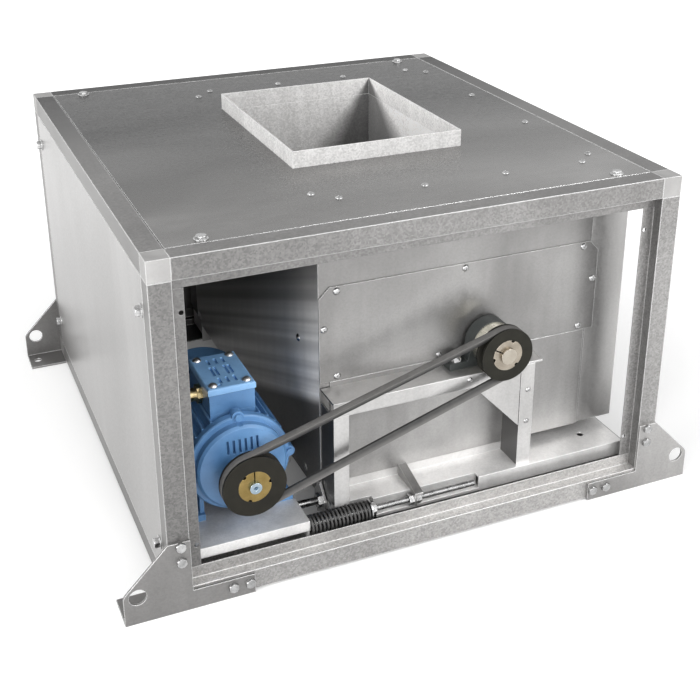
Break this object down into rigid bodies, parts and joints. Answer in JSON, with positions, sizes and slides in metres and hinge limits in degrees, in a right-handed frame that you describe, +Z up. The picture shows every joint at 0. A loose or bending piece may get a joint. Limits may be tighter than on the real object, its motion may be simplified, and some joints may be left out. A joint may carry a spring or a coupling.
{
  "type": "belt-driven cabinet fan",
  "caption": "Galvanised profile-frame fan cabinet with a double-inlet blower, top outlet collar, and a motor on a spring-tensioned slide that drives the fan shaft by a V-belt.",
  "frame": {"origin": "on the floor under the middle of the cabinet", "axes": "+Z up, +X to the right along the cabinet's width, -Y towards the drive side at the front"},
  "size_m": [0.746, 0.6944, 0.446],
  "materials": {
    "galvanised_profile": "galvanised, satin",
    "galvanised_sheet": "galvanised with spangle",
    "corner_metal": "matt",
    "zinc_hardware": "zinc plated",
    "bearing_cast": "painted casting",
    "bearing_steel": "ground",
    "shaft_steel": "turned",
    "spring_steel": "blackened",
    "belt_rubber": "matt",
    "pulley_iron": "phosphated, turned",
    "bush_steel": "turned",
    "bush_brass": "golden phosphate",
    "motor_paint": "satin blue paint on cast aluminium",
    "motor_core": "laminated",
    "gland_brass": "turned",
    "fan_plastic": "matt"
  },
  "bodies": {
    "cabinet": {"posts": "galvanised_profile", "rails_front": "galvanised_profile", "rails_rear": "galvanised_profile", "rails_left": "galvanised_profile", "rails_right": "galvanised_profile", "corner_blocks": "corner_metal", "top_panel": "galvanised_sheet", "left_panel": "galvanised_sheet", "rear_panel": "galvanised_sheet", "panel_screws": "zinc_hardware", "sheet_screws": "zinc_hardware", "hex_bolts": "zinc_hardware", "lifting_brackets": "galvanised_sheet", "chamber_front_wall": "galvanised_sheet", "chamber_strips": "galvanised_sheet", "chamber_rear_wall": "galvanised_sheet", "chamber_left_wall": "galvanised_sheet", "chamber_floor": "galvanised_sheet", "chamber_top_frame": "galvanised_sheet", "access_plate_upper": "galvanised_sheet", "access_plate_lower": "galvanised_sheet", "scroll_wrapper": "galvanised_sheet", "scroll_sides": "galvanised_sheet", "inlet_cones": "galvanised_sheet", "outlet_collar": "galvanised_sheet", "base_channels": "galvanised_sheet", "pedestal_uprights": "galvanised_sheet", "bearing_shelves": "galvanised_sheet", "bearing_housings": "bearing_cast", "bearing_outer_rings": "bearing_steel", "bearing_covers": "bearing_steel", "floor_bearers": "galvanised_sheet", "slide_rail": "galvanised_sheet", "slide_rods": "zinc_hardware", "rod_brackets": "galvanised_sheet", "rod_nuts": "zinc_hardware", "tension_spring": "spring_steel", "v_belt": "belt_rubber"},
    "fan_rotor": {"fan_shaft": "shaft_steel", "fan_pulley": "pulley_iron", "fan_bush": "bush_steel", "impeller_hub": "galvanised_sheet", "impeller_rings": "galvanised_sheet", "impeller_blades": "galvanised_sheet", "bearing_inner_rings": "bearing_steel"},
    "motor_base": {"motor_tray": "galvanised_sheet", "motor_frame": "motor_paint", "motor_shields": "motor_paint", "motor_fan_cowl": "motor_paint", "motor_stator": "motor_core", "motor_bearings": "bearing_steel", "terminal_box": "motor_paint", "terminal_lid": "motor_paint", "cable_gland": "gland_brass", "motor_bolts": "zinc_hardware"},
    "motor_rotor": {"motor_shaft": "shaft_steel", "motor_rotor_core": "motor_core", "motor_cooling_fan": "fan_plastic", "motor_pulley": "pulley_iron", "motor_bush": "bush_brass"}
  },
  "joints": [
    {"name": "motor_slide", "type": "slide", "parent": "cabinet", "child": "motor_base", "axis": [1, 0, 0], "range_m": [0, 0.016], "stiffness_N_per_m": 8000, "springref_m": -0.02, "deforming": ["tension_spring", "v_belt"]},
    {"name": "fan_spin", "type": "hinge", "parent": "cabinet", "child": "fan_rotor", "pos_m": [0.1036, 0, 0.2268], "axis": [0, 1, 0], "continuous": true},
    {"name": "motor_spin", "type": "hinge", "parent": "motor_base", "child": "motor_rotor", "pos_m": [-0.2137, 0, 0.129], "axis": [0, 1, 0], "continuous": true}
  ],
  "couplings": [
    {"joint": "motor_spin", "follows": "fan_spin", "ratio": 0.88732}
  ]
}
